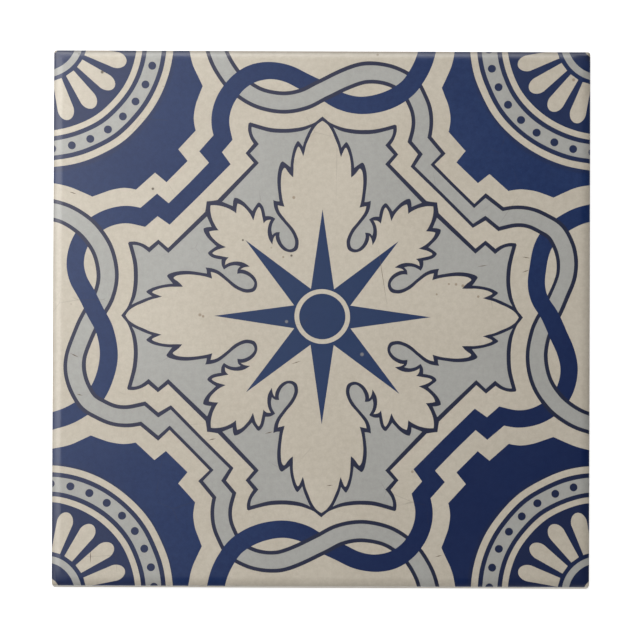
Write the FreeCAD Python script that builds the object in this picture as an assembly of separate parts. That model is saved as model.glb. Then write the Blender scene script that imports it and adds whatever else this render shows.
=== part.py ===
"""Azulejo wall tile: one dust-pressed and glazed ceramic tile, lying face up on its keyed back.

Frame: origin at the middle of the back, +Z out through the glazed face, +Y to the top of the decoration.
All lengths are in millimetres.
"""

import FreeCAD, Part
import math
import os

# Pressed body
FACE_SIZE = 150.0         # side of the square tile
THICKNESS = 8.0           # from the back to the flat of the glazed face
CORNER_RADIUS = 0.9       # upright corners, seen from above
BACK_ARRIS = 0.7          # bevel that keeps the back edges from chipping

# Cushion edge: the glazed face rolls off along all four sides
CUSHION_WIDTH = 2.8       # from the wall to where the face starts to roll off
CUSHION_SLOPE_DEG = 30.0  # how steep the roll-off has become where the lip takes over
LIP_RADIUS = 0.6          # tight round between the roll-off and the upright wall

# Keyed back: a waffle of shallow pockets that holds the tile in its bed of mortar
KEY_COUNT = 7             # pockets along each side
KEY_RIM = 9.0             # plain border between the wall and the outer pockets
KEY_RIB = 5.0             # rib left between two pockets
KEY_DEPTH = 0.8           # depth of a pocket
KEY_DRAFT_DEG = 35.0      # lean of a pocket's walls, which lets the press die draw out
KEY_FLOOR_RADIUS = 1.4    # rounded corners of a pocket's floor

# Sizes that follow from the driving ones
HALF_SIZE = FACE_SIZE / 2
KEY_POCKET = (FACE_SIZE - 2 * KEY_RIM - (KEY_COUNT - 1) * KEY_RIB) / KEY_COUNT
KEY_PITCH = KEY_POCKET + KEY_RIB
KEY_INSET = KEY_DEPTH * math.tan(math.radians(KEY_DRAFT_DEG))

Z_AXIS = FreeCAD.Vector(0, 0, 1)


def section_arc(centre_x, centre_z, radius, start_deg, end_deg):
    """Arc in the XZ plane, with its angles counted from +X towards +Z."""
    points = []
    for angle_deg in (start_deg, (start_deg + end_deg) / 2, end_deg):
        angle = math.radians(angle_deg)
        points.append(FreeCAD.Vector(centre_x + radius * math.cos(angle), 0, centre_z + radius * math.sin(angle)))
    return Part.Arc(*points).toShape()


def edge_section():
    """One edge of the tile in section: back arris, upright wall, lip and cushion, up to the flat of the face.

    The lip is tangent to the wall and to the cushion, and the cushion is tangent to the face, so the
    cushion's radius follows from its width and from the slope at which the two arcs meet.
    """
    slope = math.radians(CUSHION_SLOPE_DEG)
    lip_reach = LIP_RADIUS * (1 - math.sin(slope))
    cushion_radius = (CUSHION_WIDTH - lip_reach) / math.sin(slope)
    cushion_z = THICKNESS - cushion_radius
    lip_z = cushion_z + (cushion_radius - LIP_RADIUS) * math.cos(slope)
    meeting_deg = 90 - CUSHION_SLOPE_DEG

    back_edge = FreeCAD.Vector(HALF_SIZE - BACK_ARRIS, 0, 0)
    wall_foot = FreeCAD.Vector(HALF_SIZE, 0, BACK_ARRIS)
    wall_top = FreeCAD.Vector(HALF_SIZE, 0, lip_z)
    return Part.Wire([
        Part.makeLine(back_edge, wall_foot),
        Part.makeLine(wall_foot, wall_top),
        section_arc(HALF_SIZE - LIP_RADIUS, lip_z, LIP_RADIUS, 0, meeting_deg),
        section_arc(HALF_SIZE - CUSHION_WIDTH, cushion_z, cushion_radius, meeting_deg, 90),
    ])


def cushioned_slab():
    """The full section run straight along Y, with the moulded edge on its two X sides only."""
    right = edge_section()
    left = right.mirror(FreeCAD.Vector(0, 0, 0), FreeCAD.Vector(1, 0, 0))
    face = Part.makeLine(
        FreeCAD.Vector(HALF_SIZE - CUSHION_WIDTH, 0, THICKNESS),
        FreeCAD.Vector(CUSHION_WIDTH - HALF_SIZE, 0, THICKNESS),
    )
    back = Part.makeLine(
        FreeCAD.Vector(BACK_ARRIS - HALF_SIZE, 0, 0),
        FreeCAD.Vector(HALF_SIZE - BACK_ARRIS, 0, 0),
    )
    outline = Part.Wire(Part.__sortEdges__(right.Edges + [face] + left.Edges + [back]))
    slab = Part.Face(outline).extrude(FreeCAD.Vector(0, FACE_SIZE, 0))
    return slab.translated(FreeCAD.Vector(0, -HALF_SIZE, 0))


def rounded_square(side, radius, z):
    """Closed outline of a square with rounded corners, centred on the Z axis."""
    reach = side / 2
    straight = reach - radius
    bulge = straight + radius * math.sqrt(0.5)
    edges = []
    for quarter in range(4):
        turn = FreeCAD.Rotation(Z_AXIS, 90 * quarter)
        side_start = turn * FreeCAD.Vector(reach, -straight, z)
        side_end = turn * FreeCAD.Vector(reach, straight, z)
        corner_middle = turn * FreeCAD.Vector(bulge, bulge, z)
        corner_end = turn * FreeCAD.Vector(straight, reach, z)
        edges.append(Part.makeLine(side_start, side_end))
        edges.append(Part.Arc(side_end, corner_middle, corner_end).toShape())
    return Part.Wire(edges)


def pressed_body():
    """Two crossed slabs give mitred cushions on all four sides, and a prism rounds the upright corners."""
    along_y = cushioned_slab()
    along_x = along_y.copy()
    along_x.rotate(FreeCAD.Vector(0, 0, 0), Z_AXIS, 90)
    prism = Part.Face(rounded_square(FACE_SIZE, CORNER_RADIUS, 0)).extrude(Z_AXIS * THICKNESS)
    return along_y.common(along_x).common(prism)


def key_pocket():
    """One pocket of the waffle back, wider at its mouth than at its floor."""
    mouth = rounded_square(KEY_POCKET, KEY_FLOOR_RADIUS + KEY_INSET, 0)
    floor = rounded_square(KEY_POCKET - 2 * KEY_INSET, KEY_FLOOR_RADIUS, KEY_DEPTH)
    return Part.makeLoft([mouth, floor], True, True)


def key_pockets():
    """The whole waffle, in rows and columns about the middle of the back."""
    pocket = key_pocket()
    places = [(index - (KEY_COUNT - 1) / 2) * KEY_PITCH for index in range(KEY_COUNT)]
    return [pocket.translated(FreeCAD.Vector(x, y, 0)) for y in places for x in places]


def azulejo_tile():
    """The fired tile, one solid."""
    return pressed_body().cut(key_pockets()).removeSplitter().Solids[0]


os.makedirs("parts", exist_ok=True)
tile = azulejo_tile()
tile.exportStep("parts/tile.step")
print("valid", tile.isValid(), "faces", len(tile.Faces), "volume cm3", round(tile.Volume / 1000, 2))
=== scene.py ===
# %% [markdown]
# # A painted azulejo
# An azulejo is a square wall tile: a slab of pressed clay that is fired once, covered on one face with an
# opaque cream glaze, painted, and fired again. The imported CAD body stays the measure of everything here.
# We draw the ornament as outlines, cut the glazed face along them, close the body round that face, and
# give glaze and bare clay one procedural finish.

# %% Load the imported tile
import math

import bpy
import numpy as np
from mathutils import Matrix, Vector
from mathutils.geometry import delaunay_2d_cdt


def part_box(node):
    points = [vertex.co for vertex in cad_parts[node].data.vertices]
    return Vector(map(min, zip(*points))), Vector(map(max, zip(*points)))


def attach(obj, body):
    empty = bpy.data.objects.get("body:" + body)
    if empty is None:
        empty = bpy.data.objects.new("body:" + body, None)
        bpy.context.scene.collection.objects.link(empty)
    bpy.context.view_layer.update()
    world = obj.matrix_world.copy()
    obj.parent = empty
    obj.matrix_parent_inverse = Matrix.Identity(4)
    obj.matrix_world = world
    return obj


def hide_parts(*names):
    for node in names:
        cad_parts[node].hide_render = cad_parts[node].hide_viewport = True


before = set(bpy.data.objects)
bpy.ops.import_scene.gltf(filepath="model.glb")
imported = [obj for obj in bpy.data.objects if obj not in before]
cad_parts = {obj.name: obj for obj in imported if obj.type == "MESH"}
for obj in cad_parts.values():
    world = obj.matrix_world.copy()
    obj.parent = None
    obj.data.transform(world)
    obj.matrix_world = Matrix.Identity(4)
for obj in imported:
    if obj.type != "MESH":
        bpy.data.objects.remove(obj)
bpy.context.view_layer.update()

# %% [markdown]
# ## Sizes
# The frame gives the outer sizes. It holds only triangles, so the few values that shape the edge and the
# back are written here again, as the part's source has them. We work in millimetres, as a tile maker
# does, and turn to metres only when the mesh is made.

# %% Sizes of the body, in millimetres
MM = 0.001
tile_low, tile_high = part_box("tile")
FACE_SIZE = (tile_high[0] - tile_low[0]) / MM
THICKNESS = (tile_high[2] - tile_low[2]) / MM
HALF_SIZE = FACE_SIZE / 2
CORNER_RADIUS = 0.9                 # upright corners, seen from above
BACK_ARRIS = 0.7                    # bevel round the back
CUSHION_WIDTH = 2.8                 # from the wall to where the face starts to roll off
CUSHION_SLOPE = math.radians(30)    # slope at which the lip takes over from the cushion
LIP_RADIUS = 0.6                    # tight round between the cushion and the wall
print("tile", round(FACE_SIZE, 3), "mm square,", round(THICKNESS, 3), "mm thick")

# %% [markdown]
# ## Drawing with strokes
# A tile painter's leaf is a row of strokes: each one bends smoothly and ends on a sharp corner. We write
# an outline the same way, as lists of the places that a stroke bends through, with the corner last. A
# Bezier curve object could do this too, but its handles take more numbers than the drawing has bends.
# Here a cubic curve finds its own tangents from the neighbouring places.

# %% A smooth stroke
STROKE_STEP = 0.6                   # longest straight piece of a drawn curve


def smooth(places):
    """A curve through the places: cubic pieces that share one tangent wherever two of them meet."""
    places = np.array(places, float)
    chords = np.diff(places, axis=0)
    if len(chords) == 1:
        return places
    pace = np.sqrt(np.linalg.norm(chords, axis=1))[:, None]
    speed = chords / pace
    inner = (speed[:-1] * pace[1:] + speed[1:] * pace[:-1]) / (pace[:-1] + pace[1:])
    first = (3 * speed[:1] - inner[:1]) / 2
    last = (3 * speed[-1:] - inner[-1:]) / 2
    tangents = np.vstack([first, inner, last])
    curve = [places[:1]]
    for index, chord in enumerate(chords):
        steps = max(2, math.ceil(np.linalg.norm(chord) / STROKE_STEP))
        along = np.linspace(0, 1, steps + 1)[1:, None]
        bend_out = tangents[index] * pace[index] - chord
        bend_in = tangents[index + 1] * pace[index] - chord
        bow = along * (1 - along) * ((1 - along) * bend_out - along * bend_in)
        curve.append(places[index] + along * chord + bow)
    return np.vstack(curve)


print("a stroke through three places has", len(smooth([(0, 0), (4, 3), (9, 3)])), "points")

# %% Outlines and arcs
def outline(start, *strokes):
    """Strokes one after another. Each is a list of the places that it bends through, its corner last."""
    line = np.array([start], float)
    for stroke in strokes:
        line = np.vstack([line, smooth([line[-1], *stroke])[1:]])
    return line


def arc(radius, start_deg, end_deg, steps):
    """Part of a circle about the middle."""
    angle = np.radians(np.linspace(start_deg, end_deg, steps + 1))
    return radius * np.column_stack([np.cos(angle), np.sin(angle)])


print("a quarter circle in six steps has", len(arc(1, 0, 90, 6)), "points")

# %% [markdown]
# The ornament has the symmetry of the square, as most azulejos do, so that four tiles or four hundred join
# into one pattern. We draw one eighth or one quarter and let small functions turn and mirror it.

# %% Symmetry
def turned(line, quarters):
    """The line turned about the middle of the tile, in quarter turns anticlockwise."""
    turn = np.linalg.matrix_power(np.array([[0, -1], [1, 0]]), quarters % 4)
    return line @ turn.T


def mirrored(line):
    """The line mirrored from left to right."""
    return line * (-1, 1)


def across(line):
    """The line mirrored in the diagonal that runs through the upper left corner."""
    return -line[:, ::-1]


def all_round(eighth):
    """The closed ring that one eighth makes, drawn from the upright axis to the upper right diagonal."""
    second_eighth = eighth[::-1, ::-1]
    quarter = np.vstack([eighth, second_eighth[1:-1]])
    return np.vstack([turned(quarter, -corner) for corner in range(4)])


print("an eighth of ten points closes into a ring of", len(all_round(np.zeros((10, 2)))))

# %% [markdown]
# ## Glazes, laid in order
# The painter lays one coat over another, and so do we: a list of outlines, each with its glaze, in the
# order of painting. Later the face is cut along all of them at once, and each cell of the cut takes the
# coat that was laid last. The drawing is for a 150 mm tile and sits a little off the middle of this one. A
# print is never quite true, so in places it slips by a fraction of a millimetre, and a slow sway of less
# than a tenth of a millimetre keeps the lines from looking ruled.

# %% The list of coats
CREAM, PALE, NAVY, INK, SCRATCH = 0, 1, 2, 3, 4
DRAWN_SIZE = 150.0                  # tile size for which the ornament is drawn
ORNAMENT_SHIFT = (0.18, 0.44)       # the print sits this far off the tile's middle
ORNAMENT_LEAN = 0.0028              # and leans to the left by this much for each millimetre up
HAND_SWAY = 0.06                    # how far a line strays
HAND_REACH = 3.3                    # over what length it strays
HAND_PACE = (0.8, 1.1, 0.7)         # uneven paces, so that the sway doesn't repeat
HAND_TWIST = (1.7, 1.9)             # how much the sway one way bends with the other
PRINT_SLIPS = (                     # where the whole print slipped, over what reach, and how far
    ((20.0, 54.0), 16.0, (0.0, -0.4)),
    ((-20.0, 64.0), 10.0, (0.4, 0.0)),
    ((63.0, 42.0), 10.0, (0.4, 0.1)),
    ((63.0, -42.0), 10.0, (0.4, 0.1)),
    ((-10.0, -63.0), 14.0, (-0.2, 0.0)),
    ((16.0, 6.0), 24.0, (0.15, -0.15)),
    ((-40.0, 4.0), 16.0, (0.2, 0.15)),
    ((-42.0, -42.0), 10.0, (0.0, -0.2)),
    ((-63.0, 30.0), 16.0, (0.2, -0.1)),
    ((-30.0, -34.0), 14.0, (0.1, -0.2)),
    ((0.0, 20.0), 12.0, (0.1, -0.2)),
    ((42.0, 20.0), 10.0, (-0.15, 0.15)),
    ((42.0, -63.0), 10.0, (-0.2, -0.2)),
    ((20.0, -22.0), 10.0, (0.2, -0.15)),
    ((-9.5, -22.5), 7.5, (0.0, 0.42)),
    ((-21.0, -8.0), 7.0, (0.2, 0.14)),
)
coats = []


def slipped(line, slips):
    """The line with each slip that it comes near."""
    moved = line.copy()
    for spot, reach, move in slips:
        nearness = np.exp(-((line - spot) ** 2).sum(axis=1) / reach ** 2)
        moved += nearness[:, None] * move
    return moved


def by_hand(line):
    """The line with the slight sway of a hand, the same for all lines at one place."""
    x, y = line.T / HAND_REACH
    sideways = np.sin(x + HAND_TWIST[0] * np.sin(HAND_PACE[0] * y))
    upwards = np.sin(HAND_PACE[1] * y + HAND_TWIST[1] * np.sin(HAND_PACE[2] * x))
    return line + HAND_SWAY * np.column_stack([sideways, upwards])


def paint(glaze, line):
    """Lays a coat, if any of it falls on this tile."""
    x, y = slipped(line, PRINT_SLIPS).T
    placed = np.column_stack([x - ORNAMENT_LEAN * y, y]) + ORNAMENT_SHIFT
    line = by_hand(placed * FACE_SIZE / DRAWN_SIZE)
    reach = np.abs(line).max(axis=1)
    if reach.min() < HALF_SIZE:
        coats.append((glaze, line))


print("a print with", len(PRINT_SLIPS), "slips, drawn for", DRAWN_SIZE, "mm")

# %% [markdown]
# ## Nodes as Python
# Both Geometry Nodes and shaders are graphs. One small class wraps an output socket: a sum on it adds a
# Math node, and its one method adds any other node, sets it and links it. With it, a graph reads from top
# to bottom like ordinary code.

# %% A socket to calculate with
class Wire:
    """An output socket of a node tree."""

    def __init__(self, tree, socket=None):
        self.tree = tree
        self.socket = socket

    def node(self, kind, settings=None, inputs=None, output=0):
        """Adds a node: its settings first, then its sockets' values or links. Gives back one output."""
        node = self.tree.nodes.new(kind)
        for name, value in (settings or {}).items():
            setattr(node, name, value)
        for name, value in (inputs or {}).items():
            if isinstance(value, Wire):
                self.tree.links.new(value.socket, node.inputs[name])
            else:
                node.inputs[name].default_value = value
        return Wire(self.tree, node.outputs[output] if len(node.outputs) else None)

    def out(self, name):
        """Another output of the same node."""
        return Wire(self.tree, self.socket.node.outputs[name])

    def maths(self, operation, *values):
        return self.node("ShaderNodeMath", {"operation": operation}, dict(enumerate(values)))

    def vectors(self, operation, inputs, output=0):
        return self.node("ShaderNodeVectorMath", {"operation": operation}, inputs, output)

    def __add__(self, other):
        return self.maths("ADD", self, other)

    def __sub__(self, other):
        return self.maths("SUBTRACT", self, other)

    def __rsub__(self, other):
        return self.maths("SUBTRACT", other, self)

    def __mul__(self, other):
        return self.maths("MULTIPLY", self, other)

    def larger(self, other):
        return self.maths("MAXIMUM", self, other)

    def above(self, limit):
        """1 where the value is above the limit, and 0 elsewhere."""
        return self.maths("GREATER_THAN", self, limit)

    def between(self, low, high):
        """Rises smoothly from 0 at the first value to 1 at the second, also where the second is lower."""
        ends = {"Value": self, "From Min": low, "From Max": high}
        return self.node("ShaderNodeMapRange", {"interpolation_type": "SMOOTHSTEP"}, ends)

    __radd__ = __add__
    __rmul__ = __mul__


# %% A geometry tree, and the mesh that it grows
glazed_tile = bpy.data.materials.new("glazed_tile")


def geometry_tree(name, sizes):
    """A new tree with a named input for each size. Gives back the wire of its input node."""
    tree = bpy.data.node_groups.new(name, "GeometryNodeTree")
    tree.interface.new_socket("Geometry", in_out="INPUT", socket_type="NodeSocketGeometry")
    for label, kind in sizes.items():
        tree.interface.new_socket(label, in_out="INPUT", socket_type="NodeSocket" + kind)
    tree.interface.new_socket("Geometry", in_out="OUTPUT", socket_type="NodeSocketGeometry")
    return Wire(tree).node("NodeGroupInput")


def end_tree(copies, material):
    """The last nodes of a tree: real copies instead of instances, with their material."""
    real = copies.node("GeometryNodeRealizeInstances", inputs={"Geometry": copies})
    dressed = real.node("GeometryNodeSetMaterial", inputs={"Geometry": real, "Material": material})
    dressed.node("NodeGroupOutput", inputs={"Geometry": dressed})
    return dressed.tree


def grown(tree, values, seed_mesh):
    """The plain mesh that a tree makes of a seed mesh."""
    carrier = bpy.data.objects.new(tree.name, seed_mesh)
    bpy.context.scene.collection.objects.link(carrier)
    modifier = carrier.modifiers.new(tree.name, "NODES")
    modifier.node_group = tree
    for item in tree.interface.items_tree:
        if item.in_out == "INPUT" and item.name in values:
            modifier[item.identifier] = values[item.name]
    evaluated = carrier.evaluated_get(bpy.context.evaluated_depsgraph_get())
    mesh = bpy.data.meshes.new_from_object(evaluated)
    bpy.data.objects.remove(carrier)
    return mesh


# %% [markdown]
# ## Rings of motifs
# Petals, dots and compass rays repeat round a point. One Geometry Nodes tree makes every such ring: it puts
# the same drawn motif on as many points as asked and turns each copy a step further. The painter gets the
# same result with a pricked paper stencil, turned round a pin.

# %% A ring of one motif
ring_input = geometry_tree("ring_of_motifs", {"Count": "Int", "First turn": "Float", "Material": "Material"})
count = ring_input.out("Count")
pins = ring_input.node("GeometryNodePoints", inputs={"Count": count})
step_number = ring_input.node("GeometryNodeInputIndex")
turn = step_number * ring_input.maths("DIVIDE", math.tau, count) + ring_input.out("First turn")
spun = turn.node("ShaderNodeCombineXYZ", inputs={"Z": turn})
stencils = {"Points": pins, "Instance": ring_input.out("Geometry"), "Rotation": spun}
ring_tree = end_tree(spun.node("GeometryNodeInstanceOnPoints", inputs=stencils), ring_input.out("Material"))


def ring_of(motif, count, first_deg=0.0):
    """The outlines of a motif, drawn pointing along +X, repeated round the middle."""
    stencil = bpy.data.meshes.new("stencil")
    stencil.from_pydata([(x, y, 0) for x, y in motif], [], [range(len(motif))])
    values = {"Count": count, "First turn": math.radians(first_deg), "Material": glazed_tile}
    ring = grown(ring_tree, values, stencil)
    flat = np.array([vertex.co[:2] for vertex in ring.vertices])
    return [flat[list(face.vertices)] for face in ring.polygons]


print("ring tree of", len(ring_tree.nodes), "nodes")

# %% [markdown]
# ## Corner fields and rosettes
# Each corner holds a quarter of a rosette on a navy field, so that four tiles make one whole flower. The
# field's inner edge swings along the ribbon and then steps out in a zigzag. We draw half of one field,
# mirror it in the diagonal and take it round the four corners. A rosette's middle lies just past the tile's
# corner, in the joint. It is a stack of round coats, each laid on the one before, with beads and petals.

# %% Navy corner fields
half_field = outline(
    (-37.6, 77.0),
    [(-37.0, 74.0), (-36.6, 72.0), (-36.0, 70.0), (-35.0, 67.7), (-33.5, 64.45)],
    [(-34.5, 61.8), (-35.3, 59.5), (-35.7, 57.5), (-35.9, 55.5), (-35.7, 53.5), (-35.4, 52.05)],
    [(-40.15, 46.7)],
    [(-37.55, 43.5)],
)
corner_field = np.vstack([half_field, across(half_field)[::-1], [(-77.0, 77.0)]])
for corner in range(4):
    paint(NAVY, turned(corner_field, corner))
print("coats after the corner fields", len(coats))

# %% One bead and one petal
BEAD_COUNT = 35
BEAD_CIRCLE = 31.0                  # from the rosette's middle
BEAD_RADIUS = 1.12
BEAD_STEPS = 24
PETAL_COUNT = 19
PETAL_HEEL = (12.05, 1.3)           # distance and half width of a petal's flat inner end
PETAL_SHOULDER = (20.8, 2.25)       # where its round tip begins
PETAL_TIP = 23.8
PETAL_STEPS = 16
bead = arc(BEAD_RADIUS, 0, 360, BEAD_STEPS)[:-1] + (BEAD_CIRCLE, 0)
shoulder, half_width = PETAL_SHOULDER
petal_cap = arc(1, -90, 90, PETAL_STEPS) * (PETAL_TIP - shoulder, half_width) + (shoulder, 0)
petal = np.vstack([[(PETAL_HEEL[0], -PETAL_HEEL[1])], petal_cap, [PETAL_HEEL]])
print("bead of", len(bead), "points, petal of", len(petal))

# %% Corner rosettes
ROSETTE_PLACES = ((77.5, 77.3), (-77.6, 77.8), (-77.7, -77.9), (77.7, -77.6))
OUTER_BANDS = ((CREAM, 36.16), (INK, 34.26), (PALE, 32.97))    # glaze and radius, the widest first
INNER_BANDS = ((INK, 28.75), (CREAM, 27.46), (NAVY, 25.8))
EYE_BANDS = ((PALE, 10.87), (NAVY, 8.95), (CREAM, 4.9))
CIRCLE_STEPS = 160
INWARD_DEG = 225                    # from the upper right rosette towards the tile's middle


def discs(bands, centre=(0.0, 0.0)):
    """One round coat after another, each with its glaze."""
    return [(glaze, arc(radius, 0, 360, CIRCLE_STEPS)[:-1] + centre) for glaze, radius in bands]


rosette = discs(OUTER_BANDS)
rosette += [(INK, line) for line in ring_of(bead, BEAD_COUNT, INWARD_DEG)]
rosette += discs(INNER_BANDS)
rosette += [(CREAM, line) for line in ring_of(petal, PETAL_COUNT, INWARD_DEG + 180 / PETAL_COUNT)]
rosette += discs(EYE_BANDS)
for corner, centre in enumerate(ROSETTE_PLACES):
    for glaze, line in rosette:
        paint(glaze, turned(line, corner) + centre)
print("coats after the rosettes", len(coats))

# %% [markdown]
# ## Interlaced ribbons
# Two navy and two pale ribbons cross and cross again along the sides. Each runs from one braid, through the
# zigzag beside its corner field, into the next braid. We draw the middle line of half a ribbon and move it
# sideways for the edges. The weave comes from the order of painting: pale first, then navy, and then short
# lengths of the pale ribbon again, at the crossings where it lies on top.

# %% The ribbons' middle lines
def half_line(corners, braid):
    """Half a ribbon from the diagonal on: straight between corners, then one stroke through the braid."""
    return outline(corners[0], *[[corner] for corner in corners[1:]], braid)


def whole_line(half):
    """Both halves, the second mirrored in the diagonal."""
    return np.vstack([half[::-1], across(half)[1:]])


navy_half = half_line(
    [(-35.65, 35.65), (-28.6, 42.8), (-31.2, 46.1), (-27.7, 50.15)],
    [(-28.5, 54.5), (-28.1, 58.15), (-26.6, 61.85), (-23.9, 65.45), (-20.0, 68.0), (-15.0, 69.0),
     (-9.9, 68.1), (-5.0, 65.85), (0.0, 63.5), (4.9, 60.7), (11.0, 59.5), (18.1, 60.95), (23.85, 64.35),
     (26.55, 67.9), (28.45, 71.8), (29.6, 75.95), (30.2, 78.4)],
)
pale_half = half_line(
    [(-35.35, 35.35), (-28.2, 42.5), (-30.75, 45.8), (-27.25, 50.05)],
    [(-28.05, 54.5), (-27.7, 58.2), (-26.25, 61.75), (-24.1, 65.15), (-20.05, 67.5), (-16.05, 68.55),
     (-12.5, 68.65), (-10.0, 68.15), (-5.2, 66.25), (-0.1, 63.6), (4.85, 61.1), (11.0, 60.0), (18.15, 61.3),
     (23.7, 64.95), (26.6, 68.4), (28.7, 72.2), (29.9, 76.0), (30.5, 78.5)],
)
navy_line = whole_line(navy_half)
pale_line = whole_line(pale_half)
print("ribbon lines of", len(navy_line), "and", len(pale_line), "points")

# %% Width of a ribbon, and its two edges
WIDENING = (9.5, 14.5)              # from the diagonal, where a ribbon grows to its full width
NAVY_HALF_WIDTHS = (2.28, 2.45)     # on the diagonal and in the braids
PALE_HALF_WIDTHS = (2.48, 3.08)


def half_widths(half, narrow, full):
    """Half the width at each point of a whole ribbon: narrow on the diagonal, full in the braids."""
    run = np.append(0, np.cumsum(np.linalg.norm(np.diff(half, axis=0), axis=1)))
    width = np.interp(run, WIDENING, (narrow, full))
    return np.append(width[::-1], width[1:])


def beside(line, distance):
    """The line moved to its left by a distance at each point, with mitred corners."""
    step = np.diff(line, axis=0)
    step /= np.linalg.norm(step, axis=1)[:, None]
    left = np.column_stack([-step[:, 1], step[:, 0]])
    before = np.vstack([left[:1], left])
    after = np.vstack([left, left[-1:]])
    mitre = (before + after) / (1 + (before * after).sum(axis=1))[:, None]
    return line + mitre * distance[:, None]


def band(line, width):
    """The closed outline of a ribbon."""
    return np.vstack([beside(line, width), beside(line, -width)[::-1]])


navy_width = half_widths(navy_half, *NAVY_HALF_WIDTHS)
pale_width = half_widths(pale_half, *PALE_HALF_WIDTHS)
print("ribbons", 2 * navy_width.max(), "and", 2 * pale_width.max(), "mm wide in the braids")

# %% Navy and pale ribbons
PALE_RIM = 0.35                     # share of the pale ribbon, on each side, that is a dark line
MIDDLE_CROSSING = ((0.0, 63.5), 9.0)    # place and reach
END_CROSSINGS = (((-64.9, 25.0), 6.5), ((-64.9, -25.0), 6.5))
RIBBON_SLIPS = (                    # where the ribbons alone slipped, over what reach, and how far
    ((-65.0, 0.0), 9.0, (0.1, 1.4)),
    ((-70.5, -15.0), 7.0, (-0.4, 0.0)),
    ((65.0, 0.0), 9.0, (0.0, 0.8)),
    ((59.0, 13.5), 5.0, (0.8, 0.0)),
    ((69.5, 11.5), 5.5, (-0.45, 0.0)),
    ((68.0, 5.5), 4.5, (-0.45, 0.0)),
    ((54.0, 26.0), 7.0, (0.0, 0.25)),
    ((37.0, 37.0), 12.0, (-0.3, 0.3)),
    ((-37.0, -37.0), 12.0, (0.3, -0.3)),
)


def paint_twice(glaze, edge):
    """Paints a ribbon and the one opposite, each with the slips that it meets."""
    for line in (edge, turned(edge, 2)):
        paint(glaze, slipped(line, RIBBON_SLIPS))


def paint_pale(part=slice(None)):
    """Paints the two pale ribbons, or the same part of both."""
    for glaze, share in ((INK, 1), (PALE, 1 - PALE_RIM)):
        paint_twice(glaze, mirrored(band(pale_line[part], share * pale_width[part])))


def length_at(crossing, reach):
    """The part of the pale ribbon that lies within reach of a crossing."""
    near = np.linalg.norm(pale_line - crossing, axis=1) < reach
    return np.flatnonzero(near)


paint_pale()
paint_twice(NAVY, band(navy_line, navy_width))
for crossing, reach in (MIDDLE_CROSSING, *END_CROSSINGS):
    paint_pale(length_at(crossing, reach))
print("coats after the ribbons", len(coats))

# %% [markdown]
# ## The medallion
# The middle of the tile is a dark ground under eight pale fields, with four large leaves and four small ones
# on top. Only a line of the ground still shows between them, as the outline of both. All of it repeats in
# every eighth of the square, so each shape is drawn once, between the upright axis and the diagonal.

# %% Dark ground
medallion_edge = outline(
    (0.0, 56.2),
    [(1.0, 55.4), (2.0, 54.6), (4.0, 53.7), (6.0, 53.1), (8.0, 52.8), (10.0, 52.65), (12.0, 52.7),
     (14.0, 52.85), (16.0, 53.2), (18.0, 53.7), (20.3, 54.35)],
    [(20.75, 54.1)],
    [(20.85, 52.5), (20.5, 51.0), (20.0, 49.8), (19.15, 48.5)],
    [(21.35, 45.8)],
    [(19.05, 43.05)],
    [(29.2, 32.65)],
    [(30.6, 32.4), (32.2, 32.2)],
)
paint(INK, all_round(medallion_edge))
print("an eighth of the ground has", len(medallion_edge), "points")

# %% Pale fields
pale_field = outline(
    (3.05, 53.25),
    [(5.0, 52.3), (8.0, 51.65), (11.0, 51.5), (14.5, 51.75), (17.5, 52.45), (19.85, 53.1)],
    [(19.85, 52.2), (19.4, 50.7), (17.7, 48.4)],
    [(20.05, 45.75)],
    [(17.65, 43.0)],
    [(27.9, 32.15)],
    [(26.0, 31.35), (24.95, 30.9)],
    [(24.85, 32.3), (24.5, 33.2)],
    [(23.7, 33.1), (22.0, 32.1), (20.2, 30.3), (19.55, 29.6)],
    [(18.7, 30.9), (17.7, 32.0), (16.6, 31.0), (16.0, 29.0), (15.9, 28.15)],
    [(14.4, 28.1), (13.1, 27.4)],
    [(14.0, 25.8), (14.25, 24.2), (13.95, 22.8)],
    [(13.2, 23.5), (11.9, 23.7)],
    [(12.0, 22.4), (11.2, 20.4), (9.9, 19.2), (9.2, 19.0), (8.1, 19.45), (7.65, 20.9), (8.05, 22.7),
     (9.1, 24.5), (10.8, 26.5), (12.5, 28.6), (13.3, 30.4), (13.6, 32.7)],
    [(12.8, 32.4), (11.85, 32.3)],
    [(12.1, 34.0), (12.55, 38.0), (12.3, 41.0), (11.6, 43.1), (11.1, 43.45), (10.5, 43.1), (8.9, 41.9)],
    [(8.7, 44.0), (8.1, 46.7), (7.6, 48.0), (6.75, 49.2), (6.2, 48.7), (5.4, 47.6)],
    [(4.9, 49.2), (4.1, 51.1), (3.05, 53.25)],
)[:-1]
for corner in range(4):
    paint(PALE, turned(pale_field, corner))
    paint(PALE, turned(mirrored(pale_field), corner))
print("coats after the medallion", len(coats))

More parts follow.
